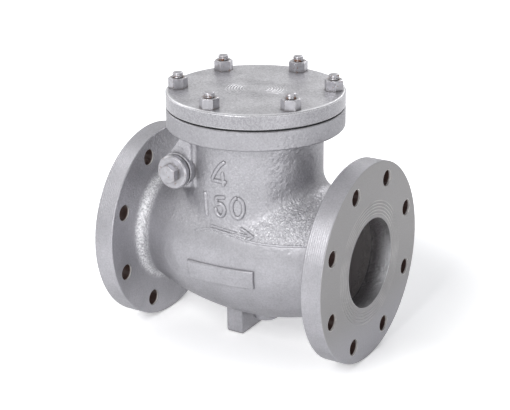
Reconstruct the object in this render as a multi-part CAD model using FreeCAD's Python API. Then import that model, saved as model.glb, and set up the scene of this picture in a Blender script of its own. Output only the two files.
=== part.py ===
"""Flanged swing check valve: a cast body with a bolted cover and a hinged clapper.

Millimetres. +X is the flow direction, from the inlet flange to the outlet flange.
+Z points up to the cover. The origin is midway between the two flange faces, on the
surface that the valve stands on. The valve is drawn shut, as it hangs with no flow.
"""
import FreeCAD, Part
import math
import os

# Pipe ends: nominal size 4 inch, class 150, flat faced
FACE_TO_FACE = 292.0
BORE_D = 102.0
FLANGE_D = 229.0
FLANGE_T = 24.0
BOLT_TO_RIM = 19.25           # from the middle of a bolt hole to the flange's rim
BOLT_COUNT = 8
BOLT_HOLE_D = 19.0
FLANGE_EDGE = 1.0
FLANGE_ROOT_FILLET = 7.0

# Bowl: the bulged part of the casting between the two pipe flanges
WALL = 8.0
BELLY_BEYOND_NECK = 10.0      # how far the bowl stands out past the neck on each side
BELLY_X = 5.0

# Neck: the upright barrel that carries the cover
NECK_D = 152.0
NECK_WALL = 9.0
NECK_SADDLE_FILLET = 24.0
COVER_FLANGE_REACH = 24.0     # from the neck out to the flange's rim
COVER_FLANGE_T = 22.0
COVER_FLANGE_TOP = 159.7      # above the pipe axis
COVER_FLANGE_ROOT_FILLET = 4.0
COVER_FLANGE_LOWER_EDGE = 2.5
COVER_FLANGE_UPPER_EDGE = 1.0

# Cover, its gasket and its fasteners
COVER_T = 17.0
COVER_TOP_EDGE = 1.6
COVER_LOWER_EDGE = 0.8
SPIGOT_T = 3.0
SPIGOT_CLEARANCE = 1.0
GASKET_T = 2.0
GASKET_INSET = 2.5
STUD_COUNT = 6
STUD_TO_RIM = 13.5            # from the middle of a stud to the cover flange's rim
STUD_FIRST_DEG = 26.5
STUD_D = 12.0
STUD_IN_BODY = 18.0
STUD_ABOVE_COVER = 18.0
STUD_END_ROUND = 3.0
STUD_END_CHAMFER = 1.5
TAPPED_HOLE_SPARE = 1.5
COVER_HOLE_CLEARANCE = 1.0
THREAD_CLEARANCE = 0.05
NUT_FLATS = 19.0
NUT_H = 12.0
NUT_TURNS_DEG = (8.0, 38.5, 44.0, 34.0, 22.0, 24.5)

# Hexagon heads and nuts: their corners are turned off to a round face
HEX_FACE_SHARE = 0.95         # of the width across flats
HEX_CHAMFER_DEG = 30.0

# Hinge: the pin runs across the neck on the inlet side
PIN_TO_NECK_BORE = 10.0       # from the pin axis to the neck's inlet wall
PIN_RISE = 96.0               # above the pipe axis
PIN_D = 12.0
PIN_HELD_CLEARANCE = 0.03
PIN_RUNNING_CLEARANCE = 0.05
PIN_END_CLEARANCE = 0.5
HUB_D = 24.0
HUB_LENGTH = 56.0
HUB_SIDE_CLEARANCE = 2.0
HUB_POCKET_CLEARANCE = 2.0

# Hinge housing: the cast block that the pin is bored through
HOUSING_WALL = 6.0
HOUSING_LENGTH = 154.0        # over the round bosses at its two ends
HOUSING_BOSS_D = 40.0
HOUSING_BOSS_RISE = 3.0       # how far a boss stands out of the block
HOUSING_BOSS_EDGE = 1.0
HOUSING_OUTLET_REACH = 17.0   # from the pin axis towards the outlet
HOUSING_DEPTH = 21.0          # from the pin axis down to its underside
HOUSING_SLOPE_START = 4.0     # from the pin axis up to where its inlet side leans over
HOUSING_SLOPE_TOP = 8.0       # from the pin axis to its inlet side at the cover flange
HOUSING_INLET_CORNER = 15.0
HOUSING_OUTLET_CORNER = 6.0
HOUSING_LOWER_EDGE = 5.0
HOUSING_ROOT_FILLET = 4.0

# Plugs that close the ends of the pin bore
PLUG_THREAD_D = 24.0
PLUG_THREAD_LENGTH = 14.0
PLUG_HOLE_SPARE = 2.0
PLUG_COLLAR_D = 38.0
PLUG_COLLAR_T = 7.0
PLUG_HEAD_FLATS = 19.0
PLUG_HEAD_H = 9.5
PLUG_EDGE = 1.5
PLUG_GASKET_D = 32.0
PLUG_GASKET_T = 2.0

# Seat: the bridge wall across the bowl and the ring pressed into it
SEAT_BEFORE_PIN = 3.0         # from the seat face to the pin axis
SEAT_HEAD_T = 6.0
SEAT_HEAD_WALL = 12.0
SEAT_HEAD_CLEARANCE = 1.0
SEAT_SLEEVE_WALL = 6.0
SEAT_CLEARANCE = 0.05
BRIDGE_T = 14.0

# Clapper disc and what holds it in the arm
SEAT_LAND = 5.0
DISC_RIM_T = 10.0
DISC_HUB_D = 34.0
DISC_HUB_RISE = 6.0           # of its shoulder over the rim's back
DISC_DISH = 1.5
DISC_DISH_MARGIN = 2.0
DISC_EDGE = 1.0
DISC_STUD_D = 16.0
EYE_RUNNING_CLEARANCE = 0.1
EYE_END_FLOAT = 0.3
EYE_D = 34.0
EYE_T = 16.0
WASHER_D = 30.0
WASHER_T = 3.0
WASHER_CLEARANCE = 0.5
DISC_NUT_FLATS = 24.0
DISC_NUT_H = 19.0
DISC_NUT_SLOT_W = 4.5
DISC_NUT_SLOT_DEPTH = 6.0
DISC_NUT_CROWN_D = 22.0
DISC_STUD_PAST_NUT = 1.5
SPLIT_PIN_D = 3.2
SPLIT_PIN_HOLE_CLEARANCE = 0.2
SPLIT_PIN_EYE_D = 4.4         # across the middle of the loop's wire
SPLIT_PIN_WIRE_D = 2.0        # of the loop and the bent legs
SPLIT_PIN_LEG = 9.0

# Arm
ARM_T = 15.0
ARM_W = 22.0
ARM_DISC_CLEARANCE = 1.5
ARM_STEP_OVER_RIM = 6.0       # how far above the clapper's edge the arm turns towards the pin
ARM_LEAN_DEG = 235.0          # where round the hub the arm's seat side leaves it
SWING_DEG = 60.0
STOP_GAP = 0.4
STOP_OFFSET = 8.0             # of the stop face from the pin axis
STOP_FINGER_T = 10.0
STOP_FINGER_REACH = 25.0
STOP_FINGER_W = 20.0
STOP_PAD_W = 26.0
STOP_PAD_H = 18.0

# Foot, and the undrilled drain boss beside it
FOOT_X = -16.5
FOOT_T = 21.0
FOOT_W = 50.0
FOOT_CORNER = 5.0
FOOT_EDGE = 2.0
FOOT_ROOT_FILLET = 4.0
DRAIN_BOSS_X = 12.0
DRAIN_BOSS_D = 31.0
DRAIN_BOSS_DROP = 9.5         # below the belly
DRAIN_BOSS_EDGE = 3.0

# Worked-out places
PIPE_Z = FLANGE_D / 2.0
HALF_LENGTH = FACE_TO_FACE / 2.0
FLANGE_BACK = HALF_LENGTH - FLANGE_T
BORE_R = BORE_D / 2.0
BOLT_CIRCLE_D = FLANGE_D - 2.0 * BOLT_TO_RIM
PIPE_NECK_R = BORE_R + WALL
BELLY_R = NECK_D / 2.0 + BELLY_BEYOND_NECK
NECK_BORE_R = NECK_D / 2.0 - NECK_WALL
COVER_FLANGE_D = NECK_D + 2.0 * COVER_FLANGE_REACH
STUD_CIRCLE_D = COVER_FLANGE_D - 2.0 * STUD_TO_RIM
COVER_FLANGE_TOP_Z = PIPE_Z + COVER_FLANGE_TOP
COVER_FLANGE_UNDER_Z = COVER_FLANGE_TOP_Z - COVER_FLANGE_T
COVER_UNDER_Z = COVER_FLANGE_TOP_Z + GASKET_T
COVER_TOP_Z = COVER_UNDER_Z + COVER_T
PIN_X = PIN_TO_NECK_BORE - NECK_BORE_R
PIN_Z = PIPE_Z + PIN_RISE
POCKET_R = HUB_D / 2.0 + HUB_POCKET_CLEARANCE
HOUSING_END_Y = HOUSING_LENGTH / 2.0
PLUG_HOLE_DEPTH = PLUG_THREAD_LENGTH + PLUG_HOLE_SPARE
SEAT_FACE_X = PIN_X - SEAT_BEFORE_PIN
SEAT_SHOULDER_X = SEAT_FACE_X - SEAT_HEAD_T
BRIDGE_BACK_X = SEAT_SHOULDER_X - BRIDGE_T
DISC_R = BORE_R + SEAT_LAND
DISC_RIM_BACK_X = SEAT_FACE_X + DISC_RIM_T
DISC_SHOULDER_X = DISC_RIM_BACK_X + DISC_HUB_RISE
EYE_FRONT_X = DISC_SHOULDER_X + EYE_END_FLOAT
EYE_BACK_X = EYE_FRONT_X + EYE_T
WASHER_X = EYE_BACK_X + EYE_END_FLOAT
DISC_NUT_X = WASHER_X + WASHER_T
DISC_STUD_END_X = DISC_NUT_X + DISC_NUT_H + DISC_STUD_PAST_NUT
SPLIT_PIN_X = DISC_NUT_X + DISC_NUT_H - DISC_NUT_SLOT_DEPTH / 2.0

X_AXIS = FreeCAD.Vector(1, 0, 0)
Y_AXIS = FreeCAD.Vector(0, 1, 0)
Z_AXIS = FreeCAD.Vector(0, 0, 1)


def point(x, y, z):
    return FreeCAD.Vector(x, y, z)


def cylinder_x(diameter, x_from, x_to, y=0.0, z=PIPE_Z):
    return Part.makeCylinder(diameter / 2.0, x_to - x_from, point(x_from, y, z), X_AXIS)


def cylinder_y(diameter, y_from, y_to, x=PIN_X, z=PIN_Z):
    return Part.makeCylinder(diameter / 2.0, y_to - y_from, point(x, y_from, z), Y_AXIS)


def cylinder_z(diameter, z_from, z_to, x=0.0, y=0.0):
    return Part.makeCylinder(diameter / 2.0, z_to - z_from, point(x, y, z_from), Z_AXIS)


def box(x_from, x_to, y_from, y_to, z_from, z_to):
    corner = point(x_from, y_from, z_from)
    return Part.makeBox(x_to - x_from, y_to - y_from, z_to - z_from, corner)


def turned_about_pipe(outline):
    """Revolve an outline of (x, radius) points about the pipe axis."""
    corners = [point(x, 0, PIPE_Z + radius) for x, radius in outline]
    face = Part.Face(Part.makePolygon(corners + corners[:1]))
    return face.revolve(point(0, 0, PIPE_Z), X_AXIS, 360)


def turned_about_z(outline):
    """Revolve an outline of (radius, z) points about the upright axis."""
    corners = [point(radius, 0, z) for radius, z in outline]
    face = Part.Face(Part.makePolygon(corners + corners[:1]))
    return face.revolve(point(0, 0, 0), Z_AXIS, 360)


def prism_along_y(outline, y_from, y_to):
    """Extrude an outline of (x, z) points along Y."""
    corners = [point(x, y_from, z) for x, z in outline]
    face = Part.Face(Part.makePolygon(corners + corners[:1]))
    return face.extrude(point(0, y_to - y_from, 0))


def prism_along_x(outline, x_from, x_to):
    """Extrude an outline of (y, z) points along X."""
    corners = [point(x_from, y, z) for y, z in outline]
    face = Part.Face(Part.makePolygon(corners + corners[:1]))
    return face.extrude(point(x_to - x_from, 0, 0))


def hexagon_prism(flats, height):
    """A hexagonal bar that stands on the XY plane, with two corners on the X axis."""
    corner_r = flats / math.sqrt(3.0)
    corners = []
    for k in range(6):
        angle = math.radians(60.0 * k)
        corners.append(point(corner_r * math.cos(angle), corner_r * math.sin(angle), 0))
    face = Part.Face(Part.makePolygon(corners + corners[:1]))
    return face.extrude(point(0, 0, height))


def chamfered_hexagon(flats, height):
    """A hexagonal bar whose corners are turned off at its free end."""
    corner_r = flats / math.sqrt(3.0)
    face_r = flats / 2.0 * HEX_FACE_SHARE
    fall = (corner_r - face_r) * math.tan(math.radians(HEX_CHAMFER_DEG))
    cone = turned_about_z([
        (0, 0),
        (corner_r, 0),
        (corner_r, height - fall),
        (face_r, height),
        (0, height),
    ])
    return hexagon_prism(flats, height).common(cone)


def edges_where(shape, test):
    """The edges of a shape whose middle and ends all pass a test."""
    found = []
    for edge in shape.Edges:
        first, last = edge.ParameterRange
        places = [edge.valueAt(first + (last - first) * part) for part in (0.02, 0.5, 0.98)]
        if all(test(place) for place in places):
            found.append(edge)
    return found


def near(value, target, margin=0.01):
    return abs(value - target) < margin


def belly_radius(x, inset=0.0):
    """Radius of the bowl at x: an arc on each side, level at the widest place."""
    end_x = FLANGE_BACK if x > BELLY_X else -FLANGE_BACK
    arc_r = belly_arc_radius(end_x)
    drop = arc_r - math.sqrt(arc_r ** 2 - (x - BELLY_X) ** 2)
    return BELLY_R - drop - inset


def belly_arc_radius(end_x):
    run = abs(end_x - BELLY_X)
    fall = BELLY_R - PIPE_NECK_R
    return (run ** 2 + fall ** 2) / (2.0 * fall)


def bowl_solid(x_from, x_to, inset=0.0):
    """The bowl between two places on the pipe axis, drawn in by a wall thickness."""
    def rim(x):
        return point(x, 0, PIPE_Z + belly_radius(x, inset))

    stations = [x_from]
    if x_from < BELLY_X < x_to:
        stations.append(BELLY_X)
    stations.append(x_to)
    edges = []
    for start, end in zip(stations, stations[1:]):
        edges.append(Part.Arc(rim(start), rim((start + end) / 2.0), rim(end)).toShape())
    foot_from = point(x_from, 0, PIPE_Z)
    foot_to = point(x_to, 0, PIPE_Z)
    edges.append(Part.makeLine(rim(x_to), foot_to))
    edges.append(Part.makeLine(foot_to, foot_from))
    edges.append(Part.makeLine(foot_from, rim(x_from)))
    face = Part.Face(Part.Wire(Part.__sortEdges__(edges)))
    return face.revolve(point(0, 0, PIPE_Z), X_AXIS, 360)


def neck_and_bowl():
    """Outer form of the bowl with the neck standing on it, the saddle between them rounded."""
    bowl = bowl_solid(-FLANGE_BACK, FLANGE_BACK)
    neck = cylinder_z(NECK_D, PIPE_Z, COVER_FLANGE_UNDER_Z + COVER_FLANGE_T / 2.0)
    outer = bowl.fuse(neck)

    def on_saddle(place):
        on_neck = near(math.hypot(place.x, place.y), NECK_D / 2.0)
        return on_neck and place.z < COVER_FLANGE_UNDER_Z

    saddle = [
        edge for edge in edges_where(outer, on_saddle)
        if not isinstance(edge.Curve, Part.Line)
    ]
    return outer.makeFillet(NECK_SADDLE_FILLET, saddle)


def pipe_flange(side):
    """One pipe flange, on the inlet side (-1) or the outlet side (+1)."""
    disc = cylinder_x(FLANGE_D, FLANGE_BACK, HALF_LENGTH)
    disc = disc.makeChamfer(FLANGE_EDGE, [e for e in disc.Edges if e.Length > FLANGE_D])
    if side < 0:
        disc = disc.mirror(point(0, 0, 0), X_AXIS)
    return disc


def cover_flange():
    disc = cylinder_z(COVER_FLANGE_D, COVER_FLANGE_UNDER_Z, COVER_FLANGE_TOP_Z)
    lower = edges_where(disc, lambda p: near(p.z, COVER_FLANGE_UNDER_Z))
    disc = disc.makeFillet(COVER_FLANGE_LOWER_EDGE, lower)
    upper = edges_where(disc, lambda p: near(p.z, COVER_FLANGE_TOP_Z))
    return disc.makeChamfer(COVER_FLANGE_UPPER_EDGE, upper)


def cover_flange_cove():
    """Hollow-cornered ring that rounds the inside corner between neck and cover flange."""
    neck_r = NECK_D / 2.0
    cove_r = COVER_FLANGE_ROOT_FILLET
    under_z = COVER_FLANGE_UNDER_Z
    sunk = NECK_WALL / 2.0
    on_neck = point(neck_r, 0, under_z - cove_r)
    on_flange = point(neck_r + cove_r, 0, under_z)
    middle = cove_r * (1.0 - math.sqrt(0.5))
    hollow = point(neck_r + middle, 0, under_z - middle)
    inner_low = point(neck_r - sunk, 0, under_z - cove_r)
    inner_high = point(neck_r - sunk, 0, under_z + sunk)
    outer_high = point(neck_r + cove_r, 0, under_z + sunk)
    edges = [
        Part.Arc(on_neck, hollow, on_flange).toShape(),
        Part.makeLine(on_flange, outer_high),
        Part.makeLine(outer_high, inner_high),
        Part.makeLine(inner_high, inner_low),
        Part.makeLine(inner_low, on_neck),
    ]
    return Part.Face(Part.Wire(edges)).revolve(point(0, 0, 0), Z_AXIS, 360)


def housing_block():
    """The cast block round the pin bore, from end to end across the neck."""
    inlet_x = PIN_X - POCKET_R - HOUSING_WALL
    outlet_x = PIN_X + HOUSING_OUTLET_REACH
    under_z = PIN_Z - HOUSING_DEPTH
    top_z = COVER_FLANGE_UNDER_Z + COVER_FLANGE_T / 2.0
    block_end_y = HOUSING_END_Y - HOUSING_BOSS_RISE
    block = box(inlet_x, outlet_x, -block_end_y, block_end_y, under_z, top_z)

    def upright_at(x):
        return edges_where(block, lambda p: near(p.x, x) and near(abs(p.y), block_end_y))

    block = block.makeFillet(HOUSING_INLET_CORNER, upright_at(inlet_x))
    block = block.makeFillet(HOUSING_OUTLET_CORNER, upright_at(outlet_x))
    lower = edges_where(block, lambda p: near(p.z, under_z))
    block = block.makeFillet(HOUSING_LOWER_EDGE, lower)
    leaning_cut = prism_along_y([
        (inlet_x, PIN_Z + HOUSING_SLOPE_START),
        (PIN_X + HOUSING_SLOPE_TOP, COVER_FLANGE_UNDER_Z),
        (PIN_X + HOUSING_SLOPE_TOP, top_z),
        (inlet_x, top_z),
    ], -HOUSING_END_Y, HOUSING_END_Y)
    return block.cut(leaning_cut)


def housing_boss(side):
    """Round boss that a plug seats on, at the front (-1) or rear (+1) end of the housing."""
    inner_y = HOUSING_END_Y - HOUSING_BOSS_RISE - HOUSING_INLET_CORNER
    boss = cylinder_y(HOUSING_BOSS_D, inner_y, HOUSING_END_Y)
    rim = edges_where(boss, lambda p: near(p.y, HOUSING_END_Y))
    boss = boss.makeFillet(HOUSING_BOSS_EDGE, rim)
    return boss if side > 0 else boss.mirror(point(0, 0, 0), Y_AXIS)


def foot():
    block = box(FOOT_X - FOOT_T / 2.0, FOOT_X + FOOT_T / 2.0,
                -FOOT_W / 2.0, FOOT_W / 2.0, 0, PIPE_Z - BELLY_R + WALL)
    corner = edges_where(block, lambda p: near(p.z, 0) and near(abs(p.y), FOOT_W / 2.0))
    block = block.makeFillet(FOOT_CORNER, corner)
    ends = edges_where(block, lambda p: near(abs(p.y), FOOT_W / 2.0) and p.z > FOOT_CORNER)
    return block.makeFillet(FOOT_EDGE, ends)


def drain_boss():
    under_z = PIPE_Z - BELLY_R - DRAIN_BOSS_DROP
    boss = cylinder_z(DRAIN_BOSS_D, under_z, PIPE_Z - BELLY_R + WALL, DRAIN_BOSS_X)
    return boss.makeFillet(DRAIN_BOSS_EDGE, edges_where(boss, lambda p: near(p.z, under_z)))


def housing_on_neck(outer):
    """Join the hinge housing to the neck, with a fillet all round where they meet."""
    joined = outer.fuse(housing_block()).removeSplitter()

    def on_root(place):
        on_neck = near(math.hypot(place.x, place.y), NECK_D / 2.0)
        beside = place.x < PIN_X + HOUSING_OUTLET_REACH + 1.0
        return on_neck and beside and PIN_Z - HOUSING_DEPTH - 1.0 < place.z < COVER_FLANGE_TOP_Z

    root = [
        edge for edge in edges_where(joined, on_root)
        if edge.BoundBox.ZMin < COVER_FLANGE_UNDER_Z
    ]
    return joined.makeFillet(HOUSING_ROOT_FILLET, root)


def foot_on_belly(outer):
    """Join the foot to the belly, with a fillet all round where they meet."""
    joined = outer.fuse(foot())

    def on_root(place):
        on_side = near(abs(place.x - FOOT_X), FOOT_T / 2.0) and abs(place.y) < FOOT_W / 2.0
        on_end = near(abs(place.y), FOOT_W / 2.0) and abs(place.x - FOOT_X) < FOOT_T / 2.0
        radius = math.hypot(place.y, place.z - PIPE_Z)
        return (on_side or on_end) and near(radius, belly_radius(place.x))

    return joined.makeFillet(FOOT_ROOT_FILLET, edges_where(joined, on_root))


def body():
    """The casting, with its machined bores and holes."""
    outer = housing_on_neck(neck_and_bowl())
    outer = foot_on_belly(outer)
    for piece in (cover_flange(), cover_flange_cove(), housing_boss(-1), housing_boss(1),
                  pipe_flange(-1), pipe_flange(1), drain_boss()):
        outer = outer.fuse(piece)
    outer = outer.removeSplitter()

    def flange_root(place):
        radius = math.hypot(place.y, place.z - PIPE_Z)
        return near(abs(place.x), FLANGE_BACK) and near(radius, PIPE_NECK_R)

    outer = outer.makeFillet(FLANGE_ROOT_FILLET, edges_where(outer, flange_root))

    casting = outer.cut(flow_passage())
    casting = casting.fuse(stop_pad())
    for tool in drilled_holes():
        casting = casting.cut(tool)
    return casting


def flow_passage():
    """Everything that is hollow inside the casting."""
    inlet = cylinder_x(BORE_D, -HALF_LENGTH, -FLANGE_BACK)
    chamber = bowl_solid(-FLANGE_BACK, BRIDGE_BACK_X, WALL)
    bowl = bowl_solid(SEAT_SHOULDER_X, FLANGE_BACK, WALL)
    outlet = cylinder_x(BORE_D, FLANGE_BACK, HALF_LENGTH)
    seat_hole = cylinder_x(seat_sleeve_d() + 2.0 * SEAT_CLEARANCE, BRIDGE_BACK_X, SEAT_SHOULDER_X)
    head_room_d = seat_head_d() + 2.0 * SEAT_HEAD_CLEARANCE
    head_room = cylinder_x(head_room_d, SEAT_SHOULDER_X, SEAT_FACE_X)
    neck = cylinder_z(2.0 * NECK_BORE_R, PIPE_Z, COVER_FLANGE_TOP_Z)
    pocket_half = HUB_LENGTH / 2.0 + HUB_SIDE_CLEARANCE
    pocket = cylinder_y(2.0 * POCKET_R, -pocket_half, pocket_half)
    hollow = inlet
    for piece in (chamber, seat_hole, bowl, head_room, outlet, neck, pocket):
        hollow = hollow.fuse(piece)
    return hollow


def stop_pad():
    """Flat pad on the neck's inlet wall that the open arm comes to rest against."""
    face_x = PIN_X - STOP_OFFSET - STOP_GAP
    wall_x = -NECK_BORE_R - NECK_WALL / 2.0
    low_z = PIN_Z + POCKET_R
    half_w = STOP_PAD_W / 2.0
    return box(wall_x, face_x, -half_w, half_w, low_z, low_z + STOP_PAD_H)


def drilled_holes():
    tools = []
    for k in range(BOLT_COUNT):
        angle = math.radians(360.0 / BOLT_COUNT * (k + 0.5))
        y = BOLT_CIRCLE_D / 2.0 * math.cos(angle)
        z = PIPE_Z + BOLT_CIRCLE_D / 2.0 * math.sin(angle)
        tools.append(cylinder_x(BOLT_HOLE_D, -HALF_LENGTH, -FLANGE_BACK, y, z))
        tools.append(cylinder_x(BOLT_HOLE_D, FLANGE_BACK, HALF_LENGTH, y, z))
    for x, y in stud_places():
        bottom = COVER_FLANGE_TOP_Z - STUD_IN_BODY - TAPPED_HOLE_SPARE
        hole_d = STUD_D + 2.0 * THREAD_CLEARANCE
        tools.append(cylinder_z(hole_d, bottom, COVER_FLANGE_TOP_Z, x, y))
    pin_hole_d = PIN_D + 2.0 * PIN_HELD_CLEARANCE
    tools.append(cylinder_y(pin_hole_d, -HOUSING_END_Y, HOUSING_END_Y))
    plug_hole_d = PLUG_THREAD_D + 2.0 * THREAD_CLEARANCE
    tools.append(cylinder_y(plug_hole_d, -HOUSING_END_Y, PLUG_HOLE_DEPTH - HOUSING_END_Y))
    tools.append(cylinder_y(plug_hole_d, HOUSING_END_Y - PLUG_HOLE_DEPTH, HOUSING_END_Y))
    return tools


def stud_places():
    places = []
    for k in range(STUD_COUNT):
        angle = math.radians(STUD_FIRST_DEG + 360.0 / STUD_COUNT * k)
        radius = STUD_CIRCLE_D / 2.0
        places.append((radius * math.cos(angle), radius * math.sin(angle)))
    return places


def cover():
    radius = COVER_FLANGE_D / 2.0
    spigot_r = NECK_BORE_R - SPIGOT_CLEARANCE
    spigot_z = COVER_UNDER_Z - GASKET_T - SPIGOT_T
    plate = turned_about_z([
        (0, spigot_z),
        (spigot_r, spigot_z),
        (spigot_r, COVER_UNDER_Z),
        (radius - COVER_LOWER_EDGE, COVER_UNDER_Z),
        (radius, COVER_UNDER_Z + COVER_LOWER_EDGE),
        (radius, COVER_TOP_Z - COVER_TOP_EDGE),
        (radius - COVER_TOP_EDGE, COVER_TOP_Z),
        (0, COVER_TOP_Z),
    ])
    for x, y in stud_places():
        hole_d = STUD_D + 2.0 * COVER_HOLE_CLEARANCE
        plate = plate.cut(cylinder_z(hole_d, COVER_UNDER_Z, COVER_TOP_Z, x, y))
    return plate


def cover_gasket():
    ring = cylinder_z(COVER_FLANGE_D - 2.0 * GASKET_INSET, COVER_FLANGE_TOP_Z, COVER_UNDER_Z)
    ring = ring.cut(cylinder_z(2.0 * NECK_BORE_R, COVER_FLANGE_TOP_Z, COVER_UNDER_Z))
    for x, y in stud_places():
        hole_d = STUD_D + 2.0 * COVER_HOLE_CLEARANCE
        ring = ring.cut(cylinder_z(hole_d, COVER_FLANGE_TOP_Z, COVER_UNDER_Z, x, y))
    return ring


def cover_stud(x, y):
    bottom = COVER_FLANGE_TOP_Z - STUD_IN_BODY
    top = COVER_TOP_Z + STUD_ABOVE_COVER
    rod = cylinder_z(STUD_D, bottom, top, x, y)
    rod = rod.makeFillet(STUD_END_ROUND, edges_where(rod, lambda p: near(p.z, top)))
    return rod.makeChamfer(STUD_END_CHAMFER, edges_where(rod, lambda p: near(p.z, bottom)))


def cover_nut(x, y, turn_deg):
    nut = chamfered_hexagon(NUT_FLATS, NUT_H)
    nut = nut.cut(cylinder_z(STUD_D + 2.0 * THREAD_CLEARANCE, 0, NUT_H))
    nut.rotate(point(0, 0, 0), Z_AXIS, turn_deg)
    nut.translate(point(x, y, COVER_TOP_Z))
    return nut


def seat_sleeve_d():
    return BORE_D + 2.0 * SEAT_SLEEVE_WALL


def seat_head_d():
    return BORE_D + 2.0 * SEAT_HEAD_WALL


def seat_ring():
    """Stepped ring: a sleeve in the bridge wall and a head that the clapper shuts on."""
    head_r = seat_head_d() / 2.0
    sleeve_r = seat_sleeve_d() / 2.0
    return turned_about_pipe([
        (BRIDGE_BACK_X, BORE_R),
        (BRIDGE_BACK_X, sleeve_r),
        (SEAT_SHOULDER_X, sleeve_r),
        (SEAT_SHOULDER_X, head_r),
        (SEAT_FACE_X, head_r),
        (SEAT_FACE_X, BORE_R),
    ])


def disc():
    """Clapper with its seat face, dished front, coned back and the stud for the arm."""
    dish_r = BORE_R - DISC_DISH_MARGIN
    hub_r = DISC_HUB_D / 2.0
    stud_r = DISC_STUD_D / 2.0
    clapper = turned_about_pipe([
        (SEAT_FACE_X + DISC_DISH, 0),
        (SEAT_FACE_X + DISC_DISH, dish_r - DISC_DISH),
        (SEAT_FACE_X, dish_r),
        (SEAT_FACE_X, DISC_R - DISC_EDGE),
        (SEAT_FACE_X + DISC_EDGE, DISC_R),
        (DISC_RIM_BACK_X - DISC_EDGE, DISC_R),
        (DISC_RIM_BACK_X, DISC_R - DISC_EDGE),
        (DISC_RIM_BACK_X + DISC_HUB_RISE / 2.0, hub_r),
        (DISC_SHOULDER_X, hub_r - DISC_EDGE),
        (DISC_SHOULDER_X, stud_r),
        (DISC_STUD_END_X - DISC_EDGE, stud_r),
        (DISC_STUD_END_X, stud_r - DISC_EDGE),
        (DISC_STUD_END_X, 0),
    ])
    pin_hole_d = SPLIT_PIN_D + 2.0 * SPLIT_PIN_HOLE_CLEARANCE
    return clapper.cut(cylinder_y(pin_hole_d, -DISC_STUD_D, DISC_STUD_D, SPLIT_PIN_X, PIPE_Z))


def disc_washer():
    hole_d = DISC_STUD_D + 2.0 * WASHER_CLEARANCE
    ring = cylinder_x(WASHER_D, WASHER_X, WASHER_X + WASHER_T)
    return ring.cut(cylinder_x(hole_d, WASHER_X, WASHER_X + WASHER_T))


def disc_nut():
    """Slotted nut: a hexagon with a round crown cut by three slots."""
    solid_h = DISC_NUT_H - DISC_NUT_SLOT_DEPTH
    nut = hexagon_prism(DISC_NUT_FLATS, solid_h)
    nut = nut.fuse(cylinder_z(DISC_NUT_CROWN_D, solid_h, DISC_NUT_H))
    nut = nut.cut(cylinder_z(DISC_STUD_D + 2.0 * THREAD_CLEARANCE, 0, DISC_NUT_H))
    for k in range(3):
        half_w = DISC_NUT_SLOT_W / 2.0
        slot = box(-DISC_NUT_CROWN_D, DISC_NUT_CROWN_D, -half_w, half_w, solid_h, DISC_NUT_H)
        slot.rotate(point(0, 0, 0), Z_AXIS, 30.0 + 60.0 * k)
        nut = nut.cut(slot)
    nut.rotate(point(0, 0, 0), Y_AXIS, 90)
    nut.translate(point(DISC_NUT_X, 0, PIPE_Z))
    return nut


def disc_split_pin():
    """Split pin through the slots and the stud: a loop at one end, its legs bent apart."""
    reach = DISC_NUT_CROWN_D / 2.0 + SPLIT_PIN_WIRE_D / 2.0
    shank = cylinder_y(SPLIT_PIN_D, -reach, reach, SPLIT_PIN_X, PIPE_Z)
    loop_r = SPLIT_PIN_EYE_D / 2.0
    loop_place = point(SPLIT_PIN_X, -reach - loop_r, PIPE_Z)
    loop = Part.makeTorus(loop_r, SPLIT_PIN_WIRE_D / 2.0, loop_place, X_AXIS)
    legs = cylinder_z(SPLIT_PIN_WIRE_D, PIPE_Z - SPLIT_PIN_LEG, PIPE_Z + SPLIT_PIN_LEG,
                      SPLIT_PIN_X, reach)
    return shank.fuse(loop).fuse(legs)


def arm_side_outline():
    """The arm seen from the side, as (x, z) points from the eye up to the hub."""
    front_x = DISC_RIM_BACK_X + DISC_HUB_RISE / 2.0 + ARM_DISC_CLEARANCE
    turn_z = PIPE_Z + DISC_R + ARM_STEP_OVER_RIM
    hub_r = HUB_D / 2.0
    lean = math.radians(ARM_LEAN_DEG)
    return [
        (EYE_FRONT_X, PIPE_Z),
        (EYE_FRONT_X, PIPE_Z + DISC_HUB_D / 2.0),
        (front_x, PIPE_Z + DISC_HUB_D / 2.0 + ARM_DISC_CLEARANCE),
        (front_x, turn_z),
        (PIN_X + hub_r * math.cos(lean), PIN_Z + hub_r * math.sin(lean)),
        (PIN_X, PIN_Z),
        (PIN_X + hub_r, PIN_Z),
        (front_x + ARM_T, turn_z - ARM_STEP_OVER_RIM),
        (EYE_BACK_X, PIPE_Z + EYE_D / 2.0),
        (EYE_BACK_X, PIPE_Z),
    ]


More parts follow.
